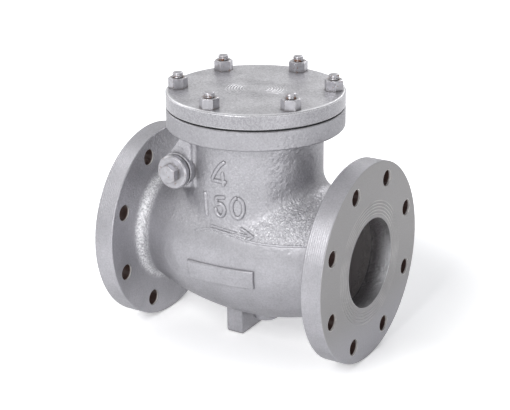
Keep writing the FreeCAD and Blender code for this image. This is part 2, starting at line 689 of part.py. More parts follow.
def hinge_arm():
    """Cast arm: hub on the pin, shank, eye round the clapper's stud, and the stop finger."""
    half_w = ARM_W / 2.0
    hub_half = HUB_LENGTH / 2.0
    hub_r = HUB_D / 2.0
    side = prism_along_y(arm_side_outline(), -hub_half, hub_half)
    front_outline = [
        (-half_w, PIPE_Z),
        (half_w, PIPE_Z),
        (half_w, PIN_Z - 2.0 * hub_r),
        (hub_half - hub_r / 2.0, PIN_Z - hub_r / 2.0),
        (hub_half - hub_r / 2.0, PIN_Z + hub_r),
        (hub_r / 2.0 - hub_half, PIN_Z + hub_r),
        (hub_r / 2.0 - hub_half, PIN_Z - hub_r / 2.0),
        (-half_w, PIN_Z - 2.0 * hub_r),
    ]
    shank = side.common(prism_along_x(front_outline, PIN_X - hub_r, EYE_BACK_X + ARM_T))
    eye = cylinder_x(EYE_D, EYE_FRONT_X, EYE_BACK_X)
    hub = cylinder_y(HUB_D, -hub_half, hub_half)
    arm = hub.fuse(shank).fuse(eye).fuse(stop_finger())
    arm = arm.cut(cylinder_y(PIN_D + 2.0 * PIN_RUNNING_CLEARANCE, -hub_half, hub_half))
    eye_hole_d = DISC_STUD_D + 2.0 * EYE_RUNNING_CLEARANCE
    arm = arm.cut(cylinder_x(eye_hole_d, EYE_FRONT_X, EYE_BACK_X))
    return arm.removeSplitter()


def stop_finger():
    """Finger on the hub; swung open, its face meets the pad on the neck wall."""
    half_w = STOP_FINGER_W / 2.0
    upright = box(PIN_X - STOP_OFFSET, PIN_X - STOP_OFFSET + STOP_FINGER_T, -half_w, half_w,
                  PIN_Z, PIN_Z + STOP_FINGER_REACH)
    upright.rotate(point(PIN_X, 0, PIN_Z), Y_AXIS, SWING_DEG)
    return upright


def hinge_pin():
    half = HOUSING_END_Y - PLUG_THREAD_LENGTH - PIN_END_CLEARANCE
    return cylinder_y(PIN_D, -half, half)


def plug(side):
    """Plug of the pin bore, on the front (-1) or the rear (+1)."""
    collar_y = HOUSING_END_Y + PLUG_GASKET_T
    head_y = collar_y + PLUG_COLLAR_T
    thread = cylinder_y(PLUG_THREAD_D, HOUSING_END_Y - PLUG_THREAD_LENGTH, collar_y)
    collar = cylinder_y(PLUG_COLLAR_D, collar_y, head_y)
    collar = collar.makeChamfer(PLUG_EDGE, edges_where(collar, lambda p: near(p.y, head_y)))
    head = chamfered_hexagon(PLUG_HEAD_FLATS, PLUG_HEAD_H)
    head.rotate(point(0, 0, 0), Z_AXIS, 90)
    head.rotate(point(0, 0, 0), X_AXIS, -90)
    head.translate(point(PIN_X, head_y, PIN_Z))
    piece = thread.fuse(collar).fuse(head)
    return piece if side > 0 else piece.mirror(point(0, 0, 0), Y_AXIS)


def plug_gasket(side):
    far_y = HOUSING_END_Y + PLUG_GASKET_T
    ring = cylinder_y(PLUG_GASKET_D, HOUSING_END_Y, far_y)
    ring = ring.cut(cylinder_y(PLUG_THREAD_D + 2.0 * THREAD_CLEARANCE, HOUSING_END_Y, far_y))
    return ring if side > 0 else ring.mirror(point(0, 0, 0), Y_AXIS)


def pieces():
    """Every piece of the valve, by its node name."""
    made = {
        "body": body(),
        "seat_ring": seat_ring(),
        "cover": cover(),
        "cover_gasket": cover_gasket(),
        "disc": disc(),
        "disc_washer": disc_washer(),
        "disc_nut": disc_nut(),
        "disc_split_pin": disc_split_pin(),
        "hinge_arm": hinge_arm(),
        "hinge_pin": hinge_pin(),
        "front_plug": plug(-1),
        "rear_plug": plug(1),
        "front_plug_gasket": plug_gasket(-1),
        "rear_plug_gasket": plug_gasket(1),
    }
    for k, (x, y) in enumerate(stud_places()):
        turn_deg = NUT_TURNS_DEG[k % len(NUT_TURNS_DEG)]
        made["cover_stud_%d" % (k + 1)] = cover_stud(x, y)
        made["cover_nut_%d" % (k + 1)] = cover_nut(x, y, turn_deg)
    return made


os.makedirs("parts", exist_ok=True)
for node, shape in pieces().items():
    shape.exportStep("parts/%s.step" % node)
    print("%-18s %9.1f mm3, %d solid(s), %s" % (
        node, shape.Volume, len(shape.Solids), "sound" if shape.isValid() else "NOT SOUND"))
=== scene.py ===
# %% [markdown]
# # A cast swing check valve, dressed for the camera
#
# The valve's pieces already exist as a fixed frame: the casting, its cover, the studs and nuts,
# and the clapper inside. This lesson gives each of them the surface it has on the real valve,
# adds what a foundry leaves on a casting, and lights it like a catalogue picture.
# Everything is in metres, and X is the way the water flows.

# %% Load the frame
import math

import bmesh
import bpy
from mathutils import Matrix, Vector
from mathutils.bvhtree import BVHTree


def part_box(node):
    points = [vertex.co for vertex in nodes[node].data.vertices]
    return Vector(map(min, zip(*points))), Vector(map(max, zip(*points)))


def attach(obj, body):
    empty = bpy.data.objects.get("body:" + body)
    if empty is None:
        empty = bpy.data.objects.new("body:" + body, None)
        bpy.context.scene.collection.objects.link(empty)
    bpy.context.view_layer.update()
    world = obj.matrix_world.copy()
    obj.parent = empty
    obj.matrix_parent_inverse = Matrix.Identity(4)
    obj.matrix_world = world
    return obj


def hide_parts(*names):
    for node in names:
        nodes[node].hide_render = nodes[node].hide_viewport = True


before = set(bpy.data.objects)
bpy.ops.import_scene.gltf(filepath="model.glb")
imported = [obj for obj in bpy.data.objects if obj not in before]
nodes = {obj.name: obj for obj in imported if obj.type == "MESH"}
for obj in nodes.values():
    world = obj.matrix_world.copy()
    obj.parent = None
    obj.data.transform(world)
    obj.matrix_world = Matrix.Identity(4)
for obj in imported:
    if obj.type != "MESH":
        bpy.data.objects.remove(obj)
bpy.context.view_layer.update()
scene = bpy.context.scene
MM = 0.001
print("pieces in the frame:", len(nodes))


def mm(*values):
    """Several millimetre values in metres."""
    return tuple(value * MM for value in values)


# %% [markdown]
# The same few places are needed again and again: the pipe axis and the faces of the two
# flanges. They are read from the frame's own boxes, so that the looks follow the pieces.

# %% Places on the valve
body_low, body_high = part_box("body")
cover_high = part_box("cover")[1]
pipe_z = body_low.z + (body_high.y - body_low.y) / 2
flange_face_x = body_high.x
FLANGE_T = 24 * MM
flange_back_x = flange_face_x - FLANGE_T
PIPE_CENTRE = Vector((0, 0, pipe_z))
BORE_R = 51 * MM
BOLT_COUNT = 8
BOLT_FIRST_DEG = 22.5
BOLT_CIRCLE_R = 95.25 * MM
BOLT_HOLE_R = 9.5 * MM
print("pipe axis is %.1f mm up, cover top %.1f mm" % (pipe_z / MM, cover_high.z / MM))

# %% [markdown]
# Colours are written the way a paint chart or a picture editor gives them, as sRGB hex values.
# Shaders work in linear light, so one function turns one into the other.
# Another small function adds a shader node, sets its options and fills or links its inputs.


# %% Helpers for colour and nodes
def linear(hex_colour, alpha=1.0):
    """A hex sRGB colour as linear RGBA."""
    channels = []
    for k in (0, 2, 4):
        value = int(hex_colour[k:k + 2], 16) / 255
        channels.append(value / 12.92 if value <= 0.04045 else ((value + 0.055) / 1.055) ** 2.4)
    return (*channels, alpha)


def add_node(tree, kind, inputs=None, **settings):
    """Add a shader node; an input is a value, a socket, or a node whose first output is meant."""
    node = tree.nodes.new("ShaderNode" + kind)
    for name, value in settings.items():
        setattr(node, name, value)
    for name, value in (inputs or {}).items():
        if isinstance(value, bpy.types.Node):
            value = value.outputs[0]
        if isinstance(value, bpy.types.NodeSocket):
            tree.links.new(value, node.inputs[name])
        else:
            node.inputs[name].default_value = value
    return node


def new_material(name):
    """An empty node material, its tree, and the socket that gives a point's place."""
    material = bpy.data.materials.new(name)
    material.use_nodes = True
    tree = material.node_tree
    tree.nodes.clear()
    return material, tree, add_node(tree, "TexCoord").outputs["Object"]


def dress(node_name, material):
    """Give a piece of the frame its material."""
    mesh = nodes[node_name].data
    mesh.materials.clear()
    mesh.materials.append(material)


# %% [markdown]
# A mask is a number from nought to one that says how much of something a point gets. Most masks
# here are products of smooth bands: nought before a place on the valve, one after it. Colours
# and relief are then stacked like coats, each laid over the last through its own mask.


# %% Helpers for masks and coats
def mask(tree, *parts):
    """The product of some masks, numbers and bands.

    A band is (value, start, end), or (value, start, end, low, high) to go from low to high.
    """
    result = None
    for part in parts:
        if isinstance(part, tuple):
            value, start, end, low, high = (*part, 0.0, 1.0)[:5]
            part = add_node(tree, "MapRange", {
                "Value": value, "From Min": start, "From Max": end, "To Min": low, "To Max": high,
            }, interpolation_type="SMOOTHSTEP").outputs["Result"]
        if result is not None:
            part = add_node(tree, "Math", {0: result, 1: part}, operation="MULTIPLY").outputs[0]
        result = part
    return result


def either(tree, *masks):
    """The largest of some masks: one where any of them is one."""
    result = masks[0]
    for other in masks[1:]:
        result = add_node(tree, "Math", {0: result, 1: other}, operation="MAXIMUM").outputs[0]
    return result


def layered(tree, base, *coats):
    """A colour with coats laid over it; a coat is (mask, colour), a colour hex or a socket."""
    colour = linear(base)
    for share, above in coats:
        above = linear(above) if isinstance(above, str) else above
        colour = add_node(tree, "Mix", {0: share, 6: colour, 7: above},
                          data_type="RGBA").outputs[2]
    return colour


def raised(tree, normal, *coats):
    """A normal with relief laid over it; a coat is (height, strength, rise in metres)."""
    for height, strength, rise in coats:
        inputs = {"Height": height, "Strength": strength, "Distance": rise}
        if normal is not None:
            inputs["Normal"] = normal
        normal = add_node(tree, "Bump", inputs).outputs[0]
    return normal


# %% [markdown]
# The picture was taken from a little above, in front of the outlet flange's side. The camera's
# place and lens come from fitting both flange rims and the bolt holes that show, which are
# circles of known size. A long lens a long way off keeps the flanges nearly parallel.

# %% Camera
CAMERA_TURN = math.radians(31.32)
CAMERA_RISE = math.radians(20.82)
CAMERA_ROLL = math.radians(-0.48)
CAMERA_DISTANCE = 1696.8 * MM
CAMERA_AIM = PIPE_CENTRE + Vector((-2.13 * MM, 0, 40.13 * MM))
SENSOR_WIDTH = 36.0
LENS = 105.0

back = Vector((
    math.sin(CAMERA_TURN) * math.cos(CAMERA_RISE),
    -math.cos(CAMERA_TURN) * math.cos(CAMERA_RISE),
    math.sin(CAMERA_RISE),
))
camera_data = bpy.data.cameras.new("camera")
camera_data.sensor_width = SENSOR_WIDTH
camera_data.lens = LENS
camera = bpy.data.objects.new("camera", camera_data)
scene.collection.objects.link(camera)
camera.location = CAMERA_AIM + back * CAMERA_DISTANCE
camera.rotation_euler = (
    back.to_track_quat("Z", "Y").to_matrix() @ Matrix.Rotation(CAMERA_ROLL, 3, "Z")
).to_euler()
camera_data.clip_start = 0.01
camera_data.clip_end = 50
scene.camera = camera
scene.view_settings.view_transform = "Standard"

# %% [markdown]
# The picture has a pure white ground with only a soft shadow under each flange. A plain floor
# gives the shadow. To the camera, to glossy paint and to glass it also glows: least behind the
# valve, where its shadow falls, and more further out, so that the ground there reaches white
# without any more light falling on the valve.

# %% Floor and backdrop
WHITE = "FFFFFF"
GLOW_NEAR = 0.34
GLOW_FAR = 0.85
SHADOW_CENTRE = (0.0, 0.12, 0.0)
SHADOW_REACH = (0.16, 0.36)
FLOOR_SIZE = 8.0
AMBIENT = 0.18
AMBIENT_COLOUR = "F0F4FF"


def seen_by_picture(tree):
    """One for camera, glossy and transmission rays, nothing for the rays that light the valve."""
    path = add_node(tree, "LightPath").outputs
    return either(tree, path["Is Camera Ray"], path["Is Glossy Ray"], path["Is Transmission Ray"])


floor_paint, tree, place = new_material("white_floor")
from_shadow = add_node(tree, "VectorMath", {0: place, 1: SHADOW_CENTRE}, operation="DISTANCE")
glow = (from_shadow.outputs["Value"], *SHADOW_REACH, GLOW_NEAR, GLOW_FAR)
diffuse = add_node(tree, "BsdfDiffuse", {"Color": linear(WHITE)})
light = add_node(tree, "Emission", {"Color": linear(WHITE),
                                    "Strength": mask(tree, seen_by_picture(tree), glow)})
ground = add_node(tree, "AddShader", {0: diffuse, 1: light})
add_node(tree, "OutputMaterial", {"Surface": ground})

floor_mesh = bpy.data.meshes.new("floor")
bm = bmesh.new()
bmesh.ops.create_grid(bm, x_segments=1, y_segments=1, size=FLOOR_SIZE / 2)
bm.to_mesh(floor_mesh)
bm.free()
floor = bpy.data.objects.new("floor", floor_mesh)
floor_mesh.materials.append(floor_paint)
scene.collection.objects.link(floor)

world = bpy.data.worlds.new("white_studio")
scene.world = world
world.use_nodes = True
tree = world.node_tree
tree.nodes.clear()
studio = add_node(tree, "Background", {"Color": linear(AMBIENT_COLOUR), "Strength": AMBIENT})
white = add_node(tree, "Background", {"Color": linear(WHITE), "Strength": 1.0})
sky = add_node(tree, "MixShader", {0: seen_by_picture(tree), 1: studio, 2: white})
add_node(tree, "OutputWorld", {"Surface": sky})

# %% [markdown]
# One large soft box in front of the valve makes most of the light. A second behind it lights
# the backs of the flanges, and two weak ones fill the left and the low right.

# %% Lamps
LAMP_SIZE = 0.8
LAMPS = {
    "front_lamp": ((0.0, -1.556, 1.240), 18.2),
    "rear_lamp": ((0.0, 1.556, 1.240), 9.0),
    "left_lamp": ((-1.556, 0.0, 1.240), 6.6),
    "low_right_lamp": ((1.629, -0.941, 0.414), 5.8),
}
for name, (lamp_place, watts) in LAMPS.items():
    lamp_data = bpy.data.lights.new(name, "AREA")
    lamp_data.shape = "SQUARE"
    lamp_data.size = LAMP_SIZE
    lamp_data.energy = watts
    lamp = bpy.data.objects.new(name, lamp_data)
    lamp.location = lamp_place
    aim = PIPE_CENTRE - Vector(lamp_place)
    lamp.rotation_euler = aim.to_track_quat("-Z", "Y").to_euler()
    scene.collection.objects.link(lamp)

# %% [markdown]
# ## Aluminium paint over a sand casting
#
# The whole valve was sprayed with aluminium paint, after the casting was machined. The paint is
# clear resin full of fine metal flakes: it is part mirror, part matt, and never quite even. Sand
# leaves the cast skin grainy and a little lumpy, while the turned flange faces and rims are
# smooth with fine rings. One material does both, and finds out where it is from the place on
# the valve, because the casting is a single piece.


# %% Helpers for places and corners
SHADE_OPENNESS = (0.40, 0.92)
EDGE_TURN = (0.985, 0.90)


def length_of(tree, vector, keep):
    """Length of a vector, counting only the axes that keep has as one."""
    kept = add_node(tree, "VectorMath", {0: vector, 1: keep}, operation="MULTIPLY")
    return add_node(tree, "VectorMath", {0: kept}, operation="LENGTH").outputs["Value"]


def from_nearest(tree, angle, radius, count, first_deg, circle_r):
    """Distance to the nearest of a ring of holes: the ring is folded onto one of them."""
    step = 2 * math.pi / count
    first = step / 2 - math.radians(first_deg)
    shifted = add_node(tree, "Math", {0: angle, 1: first}, operation="ADD")
    folded = add_node(tree, "Math", {0: shifted, 1: step}, operation="FLOORED_MODULO")
    turn = add_node(tree, "Math", {0: folded, 1: step / 2}, operation="SUBTRACT")
    along = add_node(tree, "Math", {0: turn, 1: circle_r}, operation="MULTIPLY")
    outward = add_node(tree, "Math", {0: radius, 1: circle_r}, operation="SUBTRACT")
    offset = add_node(tree, "CombineXYZ", {0: along, 1: outward})
    return add_node(tree, "VectorMath", {0: offset}, operation="LENGTH").outputs["Value"]


def shade_in_corners(tree, reach):
    """Painted shade, with some grime: one deep in corners and crevices, nothing on open surfaces.
    """
    openness = add_node(tree, "AmbientOcclusion", {"Distance": reach}, samples=6).outputs["AO"]
    return mask(tree, (openness, *SHADE_OPENNESS, 1.0, 0.0))


def rounded_edges(tree, radius):
    """A normal that rounds sharp edges a little, and a mask that is one along them."""
    rounded = add_node(tree, "Bevel", {"Radius": radius}, samples=4).outputs["Normal"]
    flat = add_node(tree, "NewGeometry").outputs["True Normal"]
    along = add_node(tree, "VectorMath", {0: rounded, 1: flat}, operation="DOT_PRODUCT")
    return rounded, mask(tree, (along.outputs["Value"], *EDGE_TURN))


# %% Where on the casting
painted_casting, tree, place = new_material("aluminium_paint_on_sand_casting")
from_pipe = add_node(tree, "VectorMath", {0: place, 1: PIPE_CENTRE},
                     operation="SUBTRACT").outputs[0]
split = add_node(tree, "SeparateXYZ", {0: from_pipe}).outputs
reach = add_node(tree, "Math", {0: split["X"]}, operation="ABSOLUTE").outputs[0]
pipe_r = length_of(tree, from_pipe, (0, 1, 1))
neck_r = length_of(tree, from_pipe, (1, 1, 0))

# %% [markdown]
# Turned surfaces are both flange rims and outer faces. The bore, the bowl and the neck are
# hollow, and only a little spray drifted in at their mouths. The bolt holes were drilled last
# and show brown, with paint just inside their edges that is drawn near white, a painted
# highlight. Every band below is where one surface gives way to the next, as a reach from
# mid-valve, a radius or a height over the pipe axis.
# The bowl is widest in the middle and draws in towards the flanges along a parabola.

# %% Turned, hollow and drilled places
FLANGE_BACK_BAND = (flange_back_x + 0.2 * MM, flange_back_x + 0.5 * MM)
FLANGE_FACE_BAND = (flange_face_x - 0.6 * MM, flange_face_x - 0.3 * MM)
FLANGE_RIM_BAND = mm(112.5, 113.2)
BOWL_MIDDLE_R = 82.0 * MM
BOWL_CURVE = -1.75
BOWL_WALL_BAND = mm(-0.5, 0.5)
BOWL_END_BAND = (flange_back_x - 1.0 * MM, flange_back_x)
BORE_END_BAND = (flange_back_x - 4.0 * MM, flange_back_x)
BORE_WALL_BAND = (BORE_R + 0.2 * MM, BORE_R + 0.5 * MM)
NECK_WALL_BAND = mm(70.5, 71.5)
NECK_FLOOR_BAND = mm(40, 45)
HOLE_WALL_BAND = (BOLT_HOLE_R + 0.1 * MM, BOLT_HOLE_R + 0.5 * MM)
HOLE_EDGE_BAND = (BOLT_HOLE_R + 0.1 * MM, BOLT_HOLE_R + 0.4 * MM)
HOLE_FRONT_BAND = (flange_face_x - 2.8 * MM, flange_face_x - 2.0 * MM)
HOLE_BACK_BAND = (flange_back_x + 1.0 * MM, flange_back_x + 3.0 * MM)

in_flange = mask(tree, (reach, *FLANGE_BACK_BAND))
rim = mask(tree, in_flange, (pipe_r, *FLANGE_RIM_BAND))
face = mask(tree, (reach, *FLANGE_FACE_BAND))
turned = either(tree, rim, face)

squared = add_node(tree, "Math", {0: split["X"], 1: split["X"]}, operation="MULTIPLY")
bowl_wall = add_node(tree, "Math", {0: squared, 1: BOWL_CURVE, 2: BOWL_MIDDLE_R},
                     operation="MULTIPLY_ADD")
past_wall = add_node(tree, "Math", {0: pipe_r, 1: bowl_wall}, operation="SUBTRACT").outputs[0]
in_bowl = mask(tree, (past_wall, *BOWL_WALL_BAND, 1.0, 0.0), (reach, *BOWL_END_BAND, 1.0, 0.0))
in_bore = mask(tree, (pipe_r, *BORE_WALL_BAND, 1.0, 0.0))
in_bore_wall = mask(tree, in_bore, (reach, *BORE_END_BAND))
in_neck = mask(tree, (neck_r, *NECK_WALL_BAND, 1.0, 0.0), (split["Z"], *NECK_FLOOR_BAND))
hollow = either(tree, in_bowl, in_bore, in_neck)

pipe_angle = add_node(tree, "Math", {0: split["Z"], 1: split["Y"]}, operation="ARCTAN2")
hole_r = from_nearest(tree, pipe_angle, pipe_r, BOLT_COUNT, BOLT_FIRST_DEG, BOLT_CIRCLE_R)
drilled = mask(tree, (hole_r, *HOLE_WALL_BAND, 1.0, 0.0), (reach, *HOLE_FRONT_BAND, 1.0, 0.0),
               (reach, *HOLE_BACK_BAND))
in_hole = mask(tree, in_flange, (hole_r, *HOLE_EDGE_BAND, 1.0, 0.0))
unpainted = either(tree, hollow, in_hole)

# %% [markdown]
# The lower half of the mould gave a fine, even skin. Above the parting line the sand was
# coarser, and it is coarsest where the saddle meets the outlet side and in the corners behind
# the flanges, where loose grains gather. Paint lies thicker there, and its glints are painted
# highlights: bright grains laid into the colour.

# %% How coarse the cast skin is
SEAM_BAND = mm(30.5, 32.5)
OFF_NECK_BAND = mm(76.5, 80)
SADDLE_START_BAND = mm(-25, 15)
SADDLE_TOP_BAND = mm(70, 80)
ROOT_BAND = mm(103, 110)
ROOT_TOP_BAND = mm(66, 74)
COLLAR_BAND = mm(134, 140)
COARSE_BELOW = 0.16
COARSE_ABOVE = 0.45
COARSE_SADDLE = 0.85
COARSE_COLLAR = 0.4

above_seam = mask(tree, (split["Z"], *SEAM_BAND))
saddle = mask(tree, above_seam, (neck_r, *OFF_NECK_BAND), (split["X"], *SADDLE_START_BAND),
              (split["Z"], *SADDLE_TOP_BAND, 1.0, 0.0), COARSE_SADDLE)
root = mask(tree, (reach, *ROOT_BAND), (pipe_r, *ROOT_TOP_BAND, 1.0, 0.0))
collar = mask(tree, (split["Z"], *COLLAR_BAND))
open_skin = add_node(tree, "MapRange", {"Value": above_seam, "To Min": COARSE_BELOW,
                                        "To Max": COARSE_ABOVE})
coarse = either(tree, open_skin.outputs[0], saddle, mask(tree, collar, COARSE_COLLAR), root)
cast = add_node(tree, "Math", {0: 1.0, 1: turned}, operation="SUBTRACT").outputs[0]
coarse_cast = mask(tree, coarse, cast)

# %% [markdown]
# A moulding sand's grains are a few tenths of a millimetre across, and so are the marks of a
# turning tool. Both are too fine to show from here, so they are drawn as clumps of about 2 mm
# and as rings about 1 mm apart. The few grooves round the bore, which a gasket grips, have
# their real spacing. A wave texture of scale one repeats every 2 pi / 20, so that length divided
# by a spacing is the scale to give it.

# %% The cast and turned relief
WAVE_PERIOD = 2 * math.pi / 20
CAST_LUMP = 16.0 * MM
CAST_LUMP_RISE = 1.0 * MM
SAND_CLUMP = 4.5 * MM
SAND_CLUMP_RISE = 1.6 * MM
SAND_GRAIN = 2.2 * MM
SAND_GRAIN_RISE = 1.3 * MM
SPRAY_RISE = 0.35 * MM
RING_MARK = 0.9 * MM
RING_MARK_RISE = 0.08 * MM
RIM_MARK = 2.4 * MM
RIM_MARK_RISE = 0.12 * MM
GROOVE_STEP = 3.6 * MM
GROOVE_RISE = 0.6 * MM
GROOVES_START_BAND = mm(53, 54.5)
GROOVES_END_BAND = mm(70, 72)

lump = add_node(tree, "TexNoise", {"Vector": place, "Scale": 1 / CAST_LUMP, "Detail": 2.0,
                                   "Roughness": 0.5})
clump = add_node(tree, "TexNoise", {"Vector": place, "Scale": 1 / SAND_CLUMP, "Detail": 2.0,
                                    "Roughness": 0.5})
sand = add_node(tree, "TexNoise", {"Vector": place, "Scale": 1 / SAND_GRAIN, "Detail": 3.0,
                                   "Roughness": 0.65}).outputs[0]
rings = add_node(tree, "TexWave", {"Vector": from_pipe, "Scale": WAVE_PERIOD / RING_MARK,
                                   "Distortion": 0.6, "Detail": 2.0, "Detail Scale": 0.4},
                 wave_type="RINGS", rings_direction="X").outputs["Fac"]
streaks = add_node(tree, "TexWave", {"Vector": from_pipe, "Scale": WAVE_PERIOD / RIM_MARK,
                                     "Distortion": 2.5, "Detail": 3.0, "Detail Scale": 0.15},
                   wave_type="BANDS", bands_direction="X").outputs["Fac"]
grooves = add_node(tree, "TexWave", {"Vector": from_pipe, "Scale": WAVE_PERIOD / GROOVE_STEP},
                   wave_type="RINGS", rings_direction="X").outputs["Fac"]
grooved = mask(tree, face, (pipe_r, *GROOVES_START_BAND), (pipe_r, *GROOVES_END_BAND, 1.0, 0.0))
relief = raised(tree, None,
                (lump, cast, CAST_LUMP_RISE),
                (clump, coarse_cast, SAND_CLUMP_RISE),
                (sand, coarse_cast, SAND_GRAIN_RISE),
                (rings, face, RING_MARK_RISE),
                (streaks, rim, RIM_MARK_RISE),
                (sand, turned, SPRAY_RISE),
                (grooves, grooved, GROOVE_RISE))

# %% [markdown]
# The flakes of real aluminium paint are too small to see from here. They are drawn about 2 mm
# apart, as the clusters that catch the light together. A faint cloudiness comes from the way
# the gun passed over the casting.

# %% Flakes, clouds and painted glints
FLAKE = 2.0 * MM
CLOUD = 26 * MM
CLOUD_CONTRAST = (0.35, 0.65)
FLAKE_CONTRAST = (0.36, 0.64)
COARSE_SPREAD = (0.25, 0.85, 0.32, 0.65)
CLOUD_SHARE = 0.22
PAINT_LEVEL = 0.44
GLINT_GRAINS = (0.55, 0.67)
SPARKLE_GRAINS = (0.40, 0.60, 0.22, 0.90)

cloudy = add_node(tree, "TexNoise", {"Vector": place, "Scale": 1 / CLOUD, "Detail": 5.0,
                                     "Roughness": 0.6})
cloud = mask(tree, (cloudy.outputs[0], *CLOUD_CONTRAST))
flake = add_node(tree, "TexNoise", {"Vector": place, "Scale": 1 / FLAKE, "Detail": 3.0,
                                    "Roughness": 0.75}).outputs[0]
speckle = mask(tree, (flake, *FLAKE_CONTRAST))
spread = mask(tree, (coarse_cast, *COARSE_SPREAD))
level = add_node(tree, "Math", {0: cloud, 1: CLOUD_SHARE, 2: PAINT_LEVEL},
                 operation="MULTIPLY_ADD")
flaked = add_node(tree, "Math", {0: speckle, 1: 0.5}, operation="SUBTRACT")
shaded = add_node(tree, "Math", {0: flaked, 1: spread, 2: level}, operation="MULTIPLY_ADD")
# Bright grains on the coarse skin and in the root band: painted highlights in the colour.
painted_glints = mask(tree, (sand, *GLINT_GRAINS), coarse_cast, coarse_cast)
painted_sparkle = mask(tree, root, (sand, *SPARKLE_GRAINS))

# %% [markdown]
# The outlet and inlet faces are rubbed duller than the rest and painted lighter low down, which
# is painted light, and the tops of their grooves are worn bright. In the bore, the lower side
# walls close to the mouth are painted near white: partly spray, partly painted light. Corners
# and crevices are darkened: painted shade, with some grime.

# %% Wear, spray, painted light and painted shade
WORN_PATCH = 50 * MM
PATCH_CONTRAST = (0.40, 0.60)
GROOVE_TOP = (0.6, 0.95)
LOW_FACE_LIGHT_BAND = mm(-95, -35)
DUST_AND_LIGHT_DEPTH_BAND = (flange_face_x - 20 * MM, flange_face_x)
DUST_AND_LIGHT_LOW_BAND = (*mm(-50, -28), 0.3, 1.0)
DUST_AND_LIGHT_HIGH_BAND = (*mm(-15, 30), 1.0, 0.15)
# Corners and crevices are darkened within this reach, less in the root band: painted shade, with
# some grime.
SHADE_REACH = 6 * MM
SHADE_BY_ROOT = (0.0, 1.0, 0.45, 0.0)

worn_patch = add_node(tree, "TexNoise", {"Vector": place, "Scale": 1 / WORN_PATCH, "Detail": 2.0,
                                         "Roughness": 0.6})
worn = mask(tree, grooved, (worn_patch.outputs[0], *PATCH_CONTRAST), (grooves, *GROOVE_TOP))
# The faces are painted lighter low down: painted light.
lit_low_face = mask(tree, (split["Z"], *LOW_FACE_LIGHT_BAND, 1.0, 0.0))
# The bore's lower side walls near the mouth are painted near white: partly spray, partly painted
# light.
dusted_and_lit = mask(tree, (reach, *DUST_AND_LIGHT_DEPTH_BAND), (split["Z"], *DUST_AND_LIGHT_LOW_BAND),
              (split["Z"], *DUST_AND_LIGHT_HIGH_BAND))
shaded_corners = mask(tree, shade_in_corners(tree, SHADE_REACH), (root, *SHADE_BY_ROOT))

# %% The paint itself
PAINT = "BBBABF"
PAINT_SHADE = "97969A"
# A near-white for painted highlights on grains, edges and the cover's lip, and for the near-white
# in the bore.
PAINTED_HIGHLIGHT = "F0F0F2"
FACE_PAINT = "9E9C9B"
FACE_PAINT_LIT = "B3B2B7"
FACE_WORN = "BBB9B8"
INSIDE = "CBC6C6"
BORE_WALL = "757173"
BARE_HOLE = "55423D"
# Paint just inside the bolt holes is drawn near white: a painted highlight.
HOLE_MOUTH_HIGHLIGHT = "F2EFEC"
# The darkest colour below darkens corners and crevices: painted shade, with some grime.
CORNER_SHADE = "5F5C5A"
EDGE_TINT = "C0C0C0"
FACE_SPECKLE = 0.6
# The neck's top, under the cover, is painted darker than the rest: painted shade.
COLLAR_PAINTED_SHADE = 0.35

face_paint = layered(tree, FACE_PAINT, (lit_low_face, FACE_PAINT_LIT),
                     (mask(tree, speckle, FACE_SPECKLE), PAINT_SHADE), (worn, FACE_WORN))
lining = layered(tree, INSIDE, (in_bore_wall, BORE_WALL), (dusted_and_lit, PAINTED_HIGHLIGHT))
colour = layered(tree, PAINT_SHADE,
                 (shaded, PAINT),
                 (either(tree, painted_glints, painted_sparkle), PAINTED_HIGHLIGHT),
                 (mask(tree, collar, COLLAR_PAINTED_SHADE), PAINT_SHADE),
                 (face, face_paint),
                 (hollow, lining),
                 (in_hole, HOLE_MOUTH_HIGHLIGHT),
                 (drilled, BARE_HOLE),
                 (shaded_corners, CORNER_SHADE))
metal = add_node(tree, "MapRange", {"Value": unpainted, "To Min": 0.60, "To Max": 0.15})
gloss = add_node(tree, "MapRange", {"Value": flake, "From Min": 0.35, "From Max": 0.65,
                                    "To Min": 0.48, "To Max": 0.30})
skin = add_node(tree, "BsdfPrincipled", {"Base Color": colour, "Metallic": metal,
                                         "Roughness": gloss, "Normal": relief,
                                         "Specular Tint": linear(EDGE_TINT)})
add_node(tree, "OutputMaterial", {"Surface": skin})
dress("body", painted_casting)

# %% [markdown]
# ## The turned cover, the fasteners and what is inside
#
# The cover is a flat disc faced on a lathe, so its top has fine rings round the middle, which
# catch the light as two fans. Its top is painted lighter and its rim darker, painted light and
# painted shade, and its edges and a ring just inside the top's edge carry a painted highlight.

# %% Cover
COVER_RING = 3.2 * MM
COVER_RING_RISE = 0.60 * MM
RINGS_START_BAND = mm(11, 16)
RINGS_END_BAND = (*mm(30, 38), 1.0, 0.06)
FINE_RING = 0.9 * MM
FINE_RING_RISE = 0.03 * MM
CENTRE_MARK_R = 1.8 * MM
CENTRE_MARK_RISE = 1.2 * MM
COVER_EDGE_R = 1.2 * MM
COVER_CLOUD = 30 * MM
COVER_SPRAY_RISE = 0.22 * MM
# The cover's corners are darkened within this reach: painted shade, with some grime.
COVER_SHADE_REACH = 7 * MM
# The top's paint is lighter than the rest of the valve and the rim's darker: painted light and
# shade.
COVER_PAINT_LIT = "D0CFD3"
RIM_PAINT_SHADED = "AEADB1"
RIM_FLAKE_SHADED = "949397"
cover_r = cover_high.x
LIP_BAND = (cover_r - 4.0 * MM, cover_r - 2.5 * MM)
COVER_RIM_BAND = (cover_r - 1.5 * MM, cover_r - 0.5 * MM)
# A ring just inside the top's edge is lightened: a painted highlight.
LIP_HIGHLIGHT = 0.5
COVER_CLOUD_SHARE = 0.3
COVER_SPECKLE = 0.6
COVER_CORNER_SHADE = 0.65

